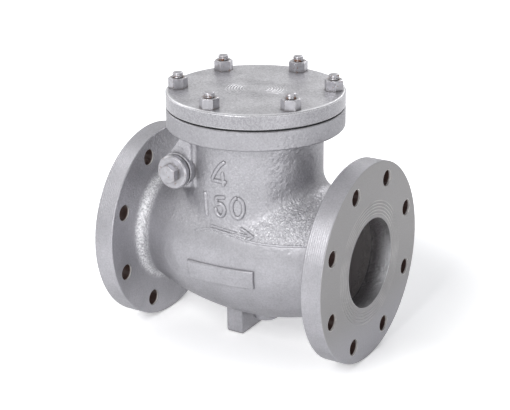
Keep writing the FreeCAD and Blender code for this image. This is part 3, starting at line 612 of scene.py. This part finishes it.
turned_cover, tree, place = new_material("aluminium_paint_on_turned_disc")
axis_r = length_of(tree, place, (1, 1, 0))
wide = add_node(tree, "TexWave", {"Vector": place, "Scale": WAVE_PERIOD / COVER_RING,
                                  "Distortion": 0.3, "Detail": 1.0, "Detail Scale": 0.2},
                wave_type="RINGS", rings_direction="Z").outputs["Fac"]
fine = add_node(tree, "TexWave", {"Vector": place, "Scale": WAVE_PERIOD / FINE_RING,
                                  "Distortion": 0.8, "Detail": 2.0, "Detail Scale": 0.3},
                wave_type="RINGS", rings_direction="Z").outputs["Fac"]
by_centre = mask(tree, (axis_r, *RINGS_END_BAND), (axis_r, *RINGS_START_BAND))
centre_mark = mask(tree, (axis_r, 0.0, CENTRE_MARK_R))
flake = add_node(tree, "TexNoise", {"Vector": place, "Scale": 1 / FLAKE, "Detail": 3.0,
                                    "Roughness": 0.75}).outputs[0]
rounded, edges = rounded_edges(tree, COVER_EDGE_R)
relief = raised(tree, rounded,
                (centre_mark, 1.0, CENTRE_MARK_RISE),
                (wide, by_centre, COVER_RING_RISE),
                (fine, 0.6, FINE_RING_RISE),
                (flake, 0.8, COVER_SPRAY_RISE))

cloudy = add_node(tree, "TexNoise", {"Vector": place, "Scale": 1 / COVER_CLOUD, "Detail": 4.0,
                                     "Roughness": 0.6})
cloud = mask(tree, (cloudy.outputs[0], *CLOUD_CONTRAST))
speckle = mask(tree, (flake, *FLAKE_CONTRAST))
shaded = add_node(tree, "Math", {0: cloud, 1: COVER_CLOUD_SHARE,
                                 2: mask(tree, speckle, COVER_SPECKLE)},
                  operation="MULTIPLY_ADD")
lip_highlight = mask(tree, (axis_r, *LIP_BAND), LIP_HIGHLIGHT)
rim_in_shade = layered(tree, RIM_FLAKE_SHADED, (speckle, RIM_PAINT_SHADED), (edges, PAINTED_HIGHLIGHT))
colour = layered(tree, PAINT_SHADE,
                 (shaded, COVER_PAINT_LIT),
                 (either(tree, edges, lip_highlight), PAINTED_HIGHLIGHT),
                 (mask(tree, (axis_r, *COVER_RIM_BAND)), rim_in_shade),
                 (mask(tree, shade_in_corners(tree, COVER_SHADE_REACH), COVER_CORNER_SHADE), CORNER_SHADE))
skin = add_node(tree, "BsdfPrincipled", {"Base Color": colour, "Metallic": 0.6,
                                         "Roughness": 0.36, "Normal": relief})
add_node(tree, "OutputMaterial", {"Surface": skin})
dress("cover", turned_cover)

# %% [markdown]
# Nuts, studs and plugs were painted with the rest. Their paint is dabbed on unevenly, their
# edges carry a painted highlight, their corners a painted shade with some grime, and rust has
# started to bleed out of the threads.

# %% Nuts, studs and plugs
RUST = "8A5A38"
RUST_DARK = "5E3B26"
STEEL_PAINT = "AEADB2"
STEEL_PAINT_SHADE = "A09FA3"
STUD_COUNT = 6
STUD_CIRCLE_R = 86.5 * MM
STUD_FIRST_DEG = 26.5
NEAR_THREAD_BAND = mm(6.0, 9.0)
THREAD_TOP_BAND = mm(306.5, 308.5)
FASTENER_EDGE_R = 0.6 * MM
DAB_RISE = 0.16 * MM
PIT_RISE = 0.12 * MM
# The fasteners' corners are darkened within this reach: painted shade, with some grime.
FASTENER_SHADE_REACH = 5 * MM
FASTENER_CORNER_SHADE = 0.7
# Edges are lightened by this much: a painted highlight.
EDGE_HIGHLIGHT = 0.7
EDGE_RUST = 0.8
STAIN_CONTRAST = (0.50, 0.58)
SPECK_CONTRAST = (0.62, 0.68)
DAB_CONTRAST = (0.38, 0.62)
FASTENER_MARKS = {
    "stain": (5.0 * MM, 4.0, 0.65),
    "speck": (4.0 * MM, 4.0, 0.7),
    "dab": (3.2 * MM, 3.0, 0.6),
    "pit": (1.4 * MM, 2.0, 0.6),
    "cloud": (6.0 * MM, 3.0, 0.6),
    "rust": (1.5 * MM, 3.0, 0.6),
}

painted_fastener, tree, place = new_material("aluminium_paint_on_steel_fasteners")
marks = {}
for name, (size, detail, roughness) in FASTENER_MARKS.items():
    marks[name] = add_node(tree, "TexNoise", {"Vector": place, "Scale": 1 / size,
                                              "Detail": detail,
                                              "Roughness": roughness}).outputs[0]
split = add_node(tree, "SeparateXYZ", {0: place}).outputs
axis_angle = add_node(tree, "Math", {0: split["Y"], 1: split["X"]}, operation="ARCTAN2")
stud_r = from_nearest(tree, axis_angle, length_of(tree, place, (1, 1, 0)),
                      STUD_COUNT, STUD_FIRST_DEG, STUD_CIRCLE_R)
by_thread = mask(tree, (stud_r, *NEAR_THREAD_BAND, 1.0, 0.0),
                 (split["Z"], *THREAD_TOP_BAND, 1.0, 0.0))
rounded, edges = rounded_edges(tree, FASTENER_EDGE_R)
stained = mask(tree, either(tree, by_thread, mask(tree, edges, EDGE_RUST)),
               (marks["stain"], *STAIN_CONTRAST))
rusty = either(tree, stained, mask(tree, (marks["speck"], *SPECK_CONTRAST)))
relief = raised(tree, rounded, (marks["dab"], 0.8, DAB_RISE), (marks["pit"], 0.6, PIT_RISE))

rust = layered(tree, RUST_DARK, (marks["rust"], RUST))
colour = layered(tree, STEEL_PAINT_SHADE,
                 (mask(tree, (marks["cloud"], *DAB_CONTRAST)), STEEL_PAINT),
                 (mask(tree, edges, EDGE_HIGHLIGHT), PAINTED_HIGHLIGHT),
                 (mask(tree, shade_in_corners(tree, FASTENER_SHADE_REACH), FASTENER_CORNER_SHADE), CORNER_SHADE),
                 (rusty, rust))
metal = add_node(tree, "MapRange", {"Value": rusty, "To Min": 0.65, "To Max": 0.05})
skin = add_node(tree, "BsdfPrincipled", {"Base Color": colour, "Metallic": metal,
                                         "Roughness": 0.32, "Normal": relief})
add_node(tree, "OutputMaterial", {"Surface": skin})
for k in range(STUD_COUNT):
    dress("cover_stud_%d" % (k + 1), painted_fastener)
    dress("cover_nut_%d" % (k + 1), painted_fastener)
dress("front_plug", painted_fastener)
dress("rear_plug", painted_fastener)

# %% [markdown]
# Gaskets are cut from pressed fibre sheet, which is black and quite matt. The one under the
# cover stayed clean and draws a dark line round the valve. The two behind the plugs caught some
# spray, and are only a dull grey.

# %% Gaskets
GASKET_FIBRE = 0.8 * MM
GASKET_FIBRE_RISE = 0.1 * MM
OVERSPRAY_SPOT = 2.0 * MM
OVERSPRAY_CONTRAST = (0.35, 0.65)

gasket_sheet, tree, place = new_material("black_gasket_sheet")
fibre = add_node(tree, "TexNoise", {"Vector": place, "Scale": 1 / GASKET_FIBRE, "Detail": 3.0,
                                    "Roughness": 0.6}).outputs[0]
skin = add_node(tree, "BsdfPrincipled", {
    "Base Color": layered(tree, "18181A", (fibre, "2C2C2E")), "Roughness": 0.75,
    "Normal": raised(tree, None, (fibre, 1.0, GASKET_FIBRE_RISE)),
})
add_node(tree, "OutputMaterial", {"Surface": skin})
dress("cover_gasket", gasket_sheet)

sprayed_gasket, tree, place = new_material("gasket_under_overspray")
spot = add_node(tree, "TexNoise", {"Vector": place, "Scale": 1 / OVERSPRAY_SPOT, "Detail": 3.0,
                                   "Roughness": 0.6})
spray = mask(tree, (spot.outputs[0], *OVERSPRAY_CONTRAST))
skin = add_node(tree, "BsdfPrincipled", {
    "Base Color": layered(tree, "5A5755", (spray, "8C8A88")), "Metallic": 0.3, "Roughness": 0.5,
})
add_node(tree, "OutputMaterial", {"Surface": skin})
dress("front_plug_gasket", sprayed_gasket)
dress("rear_plug_gasket", sprayed_gasket)

# %% [markdown]
# Inside, the clapper, its seat and its pins are turned steel: bright, with fine rings that
# stretch each highlight. The arm is a bare casting, dark and grainy, that no tool or paint has
# touched. Both patterns are again drawn a little coarser than they are.

# %% Turned steel of the clapper and its seat
TOOL_MARK = 0.8 * MM
TOOL_MARK_RISE = 0.04 * MM
STEEL_TINT = 14 * MM

turned_steel, tree, place = new_material("turned_steel")
centred = add_node(tree, "Mapping", {"Vector": place, "Location": -PIPE_CENTRE})
rings = add_node(tree, "TexWave", {"Vector": centred, "Scale": WAVE_PERIOD / TOOL_MARK,
                                   "Distortion": 0.5, "Detail": 2.0, "Detail Scale": 0.4},
                 wave_type="RINGS", rings_direction="X").outputs["Fac"]
tint = add_node(tree, "TexNoise", {"Vector": place, "Scale": 1 / STEEL_TINT, "Detail": 4.0,
                                   "Roughness": 0.6}).outputs[0]
skin = add_node(tree, "BsdfPrincipled", {
    "Base Color": layered(tree, "8C8983", (tint, "A5A29C")), "Metallic": 1.0, "Roughness": 0.36,
    "Normal": raised(tree, None, (rings, 0.6, TOOL_MARK_RISE)),
})
add_node(tree, "OutputMaterial", {"Surface": skin})
for name in ("seat_ring", "disc", "disc_washer", "disc_nut", "disc_split_pin", "hinge_pin"):
    dress(name, turned_steel)

# %% Bare casting of the arm
ARM_TINT = 12 * MM
ARM_GRAIN_RISE = 0.4 * MM

bare_casting, tree, place = new_material("bare_sand_casting")
grain = add_node(tree, "TexNoise", {"Vector": place, "Scale": 1 / SAND_GRAIN, "Detail": 4.0,
                                    "Roughness": 0.6}).outputs[0]
tint = add_node(tree, "TexNoise", {"Vector": place, "Scale": 1 / ARM_TINT, "Detail": 4.0,
                                   "Roughness": 0.6}).outputs[0]
skin = add_node(tree, "BsdfPrincipled", {
    "Base Color": layered(tree, "4A4745", (tint, "67625D")), "Metallic": 0.6, "Roughness": 0.6,
    "Normal": raised(tree, None, (grain, 1.0, ARM_GRAIN_RISE)),
})
add_node(tree, "OutputMaterial", {"Surface": skin})
dress("hinge_arm", bare_casting)

# %% [markdown]
# ## What the foundry and the fitter leave on it
#
# The studs are cut with a thread from end to end. The paint has half filled it, so it shows as
# soft waves above each nut, and the end of each stud is a low dome. A stud could be a helix
# swept by a screw modifier, but a bar is simpler and closed from the start. A circle is extruded
# along the stud in short steps, and then each vertex is drawn in where the helix passes.

# %% Threaded studs
THREAD_PITCH = 1.75 * MM
THREAD_DEPTH = 0.38 * MM
STEPS_PER_PITCH = 8
STEPS_ROUND = 28
DOME_HEIGHT = 1.6 * MM
DOME_TIP = 0.55


def finish_piece(name, bm, material, body="valve_body"):
    """Turn a bmesh into a named piece that rides a body and carries a material."""
    bmesh.ops.recalc_face_normals(bm, faces=bm.faces)
    mesh = bpy.data.meshes.new(name)
    bm.to_mesh(mesh)
    bm.free()
    mesh.shade_smooth()
    mesh.materials.append(material)
    piece = bpy.data.objects.new(name, mesh)
    scene.collection.objects.link(piece)
    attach(piece, body)
    return piece


def threaded_bar(crest, length):
    """A bmesh of a round bar on the Z axis with a thread and domed ends."""
    rows = round(length / THREAD_PITCH * STEPS_PER_PITCH)
    bm = bmesh.new()
    bmesh.ops.create_circle(bm, segments=STEPS_ROUND, radius=crest, cap_ends=True)
    loop = list(bm.edges)
    for _ in range(rows):
        grown = bmesh.ops.extrude_edge_only(bm, edges=loop)["geom"]
        loop = [part for part in grown if isinstance(part, bmesh.types.BMEdge)]
        tops = [part for part in grown if isinstance(part, bmesh.types.BMVert)]
        bmesh.ops.translate(bm, verts=tops, vec=(0, 0, length / rows))
    bmesh.ops.contextual_create(bm, geom=loop)
    for vertex in bm.verts:
        rise = vertex.co.z
        turn = math.atan2(vertex.co.y, vertex.co.x) / (2 * math.pi)
        wave = 0.5 + 0.5 * math.cos(2 * math.pi * (rise / THREAD_PITCH - turn))
        share = min(rise / DOME_HEIGHT, (length - rise) / DOME_HEIGHT, 1.0)
        swell = math.sqrt(max(0.0, 1 - (1 - share) ** 2))
        dome = crest * (DOME_TIP + (1 - DOME_TIP) * swell)
        radius = min(dome, crest - THREAD_DEPTH * wave)
        vertex.co.x *= radius / crest
        vertex.co.y *= radius / crest
    return bm


stud_low, stud_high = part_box("cover_stud_1")
bar = threaded_bar((stud_high.x - stud_low.x) / 2, stud_high.z - stud_low.z)
for k in range(STUD_COUNT):
    node_name = "cover_stud_%d" % (k + 1)
    low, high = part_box(node_name)
    bm = bar.copy()
    bmesh.ops.translate(bm, verts=bm.verts, vec=((low.x + high.x) / 2, (low.y + high.y) / 2, low.z))
    stud = finish_piece("threaded_" + node_name, bm, painted_fastener)
    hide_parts(node_name)
bar.free()
print("studs threaded at %.2f mm pitch" % (THREAD_PITCH / MM))

# %% [markdown]
# Foundries cast the nominal size and the pressure class into the neck with loose pattern
# figures, which is why they stand a little crooked. Each figure is drawn as a few strokes.
# A stroke's points are dropped straight onto the casting, and a round bar laid along them is
# partly sunk in the metal, the way a worn pattern figure comes out of sand.

# %% Points on the casting's skin
body_mesh = nodes["body"].data
body_skin = BVHTree.FromPolygons(
    [vertex.co.copy() for vertex in body_mesh.vertices],
    [tuple(polygon.vertices) for polygon in body_mesh.polygons],
)
BACKWARDS = Vector((0, 1, 0))
IN_FRONT_Y = -0.5


def on_front(x, z):
    """Place and outward direction of the casting's front skin at a given x and z."""
    return body_skin.ray_cast(Vector((x, IN_FRONT_Y, z)), BACKWARDS)[:2]


def resampled(points, spacing):
    """A polyline with extra points, so that no two are further apart than the spacing."""
    result = [points[0]]
    for start, end in zip(points, points[1:]):
        parts = max(1, math.ceil(math.dist(start, end) / spacing))
        for part in range(1, parts + 1):
            share = part / parts
            result.append(tuple(a + (b - a) * share for a, b in zip(start, end)))
    return result


def arc(centre, radius_x, radius_z, start, end, parts=14):
    """Points of an elliptical arc in the (x, z) plane; angles in degrees from +x."""
    points = []
    for part in range(parts + 1):
        angle = math.radians(start + (end - start) * part / parts)
        points.append((centre[0] + radius_x * math.cos(angle),
                       centre[1] + radius_z * math.sin(angle)))
    return points


# %% Strokes on the casting
STROKE_STEP_MM = 1.5
STROKE_END = 0.6


def raised_strokes(name, strokes, radius, sink):
    """Round bars partly sunk in the casting's front, along strokes given in mm as (x, z)."""
    curve = bpy.data.curves.new(name, "CURVE")
    curve.dimensions = "3D"
    curve.bevel_depth = radius
    curve.bevel_resolution = 3
    curve.use_fill_caps = True
    for stroke in strokes:
        points = resampled(stroke, STROKE_STEP_MM)
        ends = (0, len(points) - 1)
        spline = curve.splines.new("POLY")
        spline.points.add(len(points) - 1)
        for k, (x, z) in enumerate(points):
            place, outward = on_front(x * MM, z * MM)
            spline.points[k].co = (*(place - outward * sink), 1)
            spline.points[k].radius = STROKE_END if k in ends else 1.0
    holder = bpy.data.objects.new(name + "_curve", curve)
    bm = bmesh.new()
    bm.from_mesh(holder.to_mesh())
    bpy.data.objects.remove(holder)
    return finish_piece(name, bm, painted_casting)


# %% The size and class figures
FIGURE_STROKE = 2.6 * MM
FIGURE_SINK = 0.5 * MM
four = [
    [(6.5, 230.8), (0.6, 226.4), (-5.4, 218.6), (-9.8, 210.0), (-9.4, 207.4), (8.2, 207.6)],
    [(3.0, 218.6), (4.1, 201.9)],
]
one = [[(-23.6, 187.2), (-21.2, 189.4), (-20.5, 178.0), (-19.6, 162.6)]]
five = [
    [(6.0, 189.9), (-5.4, 188.0), (-5.2, 181.0)] + arc((-0.8, 174.4), 5.8, 7.4, 125, -195),
]
nought = [arc((20.0, 179.0), 6.7, 11.6, 90, 450, parts=28)]
raised_strokes("raised_size_figure", four, FIGURE_STROKE, FIGURE_SINK)
raised_strokes("raised_class_figures", one + five + nought, FIGURE_STROKE, FIGURE_SINK)

# %% [markdown]
# Below the figures an arrow shows which way the flow may go. The ridge it stands on is where
# the two halves of the mould met: metal creeps into the gap there and leaves a thin fin.

# %% Flow arrow and parting ridge
ARROW_STROKE = 2.2 * MM
SHAFT_STROKE = 1.6 * MM
ARROW_SINK = 0.5 * MM
RIDGE_STROKE = 1.6 * MM
RIDGE_SINK = 0.75 * MM
head = [[(23.5, 157.0), (31.0, 154.6), (40.8, 150.3), (32.0, 144.9)]]
shaft = [[(-14.0, 154.0), (6.0, 152.6), (38.0, 150.2)]]
ridge = [[(-33.0, 144.5), (-20.0, 149.0), (-11.0, 150.6), (10.0, 149.6), (30.0, 146.0),
          (48.0, 144.5), (72.0, 144.6), (100.0, 146.5), (116.0, 147.5)]]
raised_strokes("raised_flow_arrow_head", head, ARROW_STROKE, ARROW_SINK)
raised_strokes("raised_flow_arrow_shaft", shaft, SHAFT_STROKE, ARROW_SINK)
raised_strokes("parting_ridge", ridge, RIDGE_STROKE, RIDGE_SINK)

# %% [markdown]
# Low on the belly is a flat cast pad where a foundry puts its own plate of letters. Here it is
# left bare. It is a patch of the casting's own skin, lifted, with edges that slope back into it,
# and it is extruded backwards into the casting's wall, so that it is closed.

# %% Bare pad
PAD_CORNERS = ((-41.0, 110.6), (46.6, 114.0), (45.6, 91.2), (-40.2, 86.9))
PAD_RISE = 3.0 * MM
PAD_EDGE = 1.5 * MM
PAD_ROOT = 0.4 * MM
PAD_DEPTH = 4.0 * MM
PAD_CELLS = (100, 32)
top_left, top_right, low_right, low_left = (Vector(corner) for corner in PAD_CORNERS)
pad_width = (top_right - top_left).length * MM
pad_height = (top_left - low_left).length * MM
bm = bmesh.new()
bmesh.ops.create_grid(bm, x_segments=PAD_CELLS[0], y_segments=PAD_CELLS[1], size=0.5)
for vertex in bm.verts:
    u = vertex.co.x + 0.5
    v = vertex.co.y + 0.5
    x, z = low_left.lerp(low_right, u).lerp(top_left.lerp(top_right, u), v)
    to_edge = min(u * pad_width, (1 - u) * pad_width, v * pad_height, (1 - v) * pad_height)
    share = min(to_edge / PAD_EDGE, 1.0)
    lift = (PAD_RISE + PAD_ROOT) * share * share * (3 - 2 * share) - PAD_ROOT
    place, outward = on_front(x * MM, z * MM)
    vertex.co = place + outward * lift
grown = bmesh.ops.extrude_face_region(bm, geom=list(bm.faces))["geom"]
behind = [part for part in grown if isinstance(part, bmesh.types.BMVert)]
bmesh.ops.translate(bm, verts=behind, vec=BACKWARDS * PAD_DEPTH)
finish_piece("bare_cast_pad", bm, painted_casting)
